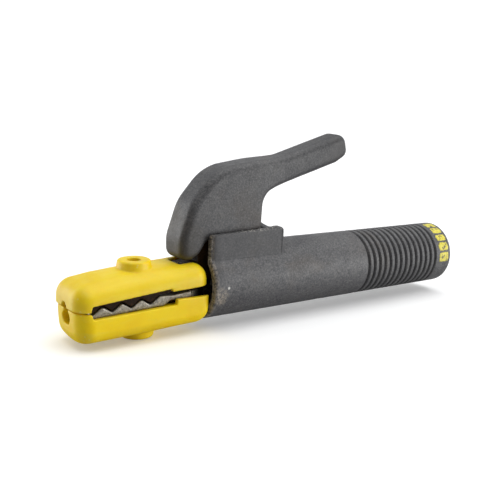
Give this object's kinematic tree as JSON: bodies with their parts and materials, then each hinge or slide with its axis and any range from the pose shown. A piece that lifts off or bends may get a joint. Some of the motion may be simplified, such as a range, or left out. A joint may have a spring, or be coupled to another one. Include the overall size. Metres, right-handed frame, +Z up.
{
  "type": "welding electrode holder",
  "caption": "Tong-type welding electrode holder: spring-closed toothed jaws under yellow insulators, a squeeze lever and a ribbed round handle.",
  "frame": {"origin": "centre of the handle's rear face, on the axis of the cable entry", "axes": "+X out of the cable entry along the handle, jaws towards -X, +Z up to the squeeze lever, +Y across along the pivot pin"},
  "size_m": [0.247, 0.0376, 0.0974],
  "materials": {
    "grey_plastic": "dark grey glass-filled moulding, slightly mottled and grainy",
    "yellow_plastic": "yellow glass-filled thermoset moulding, satin",
    "jaw_casting": "grey plated copper-alloy casting, rough as cast",
    "lever_casting": "copper-alloy casting, darkened by heat",
    "steel": "zinc-plated steel",
    "spring_steel": "oiled spring wire",
    "bronze": "sintered bronze",
    "copper": "bare copper sheet",
    "fibre": "vulcanised fibre tube",
    "seat_plastic": "natural glass-filled nylon"
  },
  "bodies": {
    "holder": {"handle_sleeve": "grey_plastic", "sleeve_screw": "steel", "insulating_liner": "fibre", "lower_jaw_body": "jaw_casting", "pivot_pin": "steel", "pivot_retaining_rings": "spring_steel", "pivot_thrust_washers": "bronze", "cable_clamp_screws": "steel", "cable_contact_sleeve": "copper", "spring_seat_lower": "seat_plastic", "lower_jaw_insulator": "yellow_plastic", "lower_insulator_screw": "steel", "lower_lock_washer": "spring_steel", "jaw_spring": "spring_steel"},
    "lever": {"upper_jaw_lever": "lever_casting", "pivot_bush": "bronze", "spring_seat_upper": "seat_plastic", "upper_jaw_insulator": "yellow_plastic", "upper_insulator_screw": "steel", "upper_lock_washer": "spring_steel", "lever_cover": "grey_plastic", "lever_cover_screw": "steel"}
  },
  "joints": [
    {"name": "lever_pivot", "type": "hinge", "parent": "holder", "child": "lever", "pos_m": [-0.165, 0, 0.0065], "axis": [0, 1, 0], "range_deg": [0, 12], "stiffness_Nm_per_rad": 4, "springref_deg": -22.92, "deforming": ["jaw_spring"]}
  ]
}
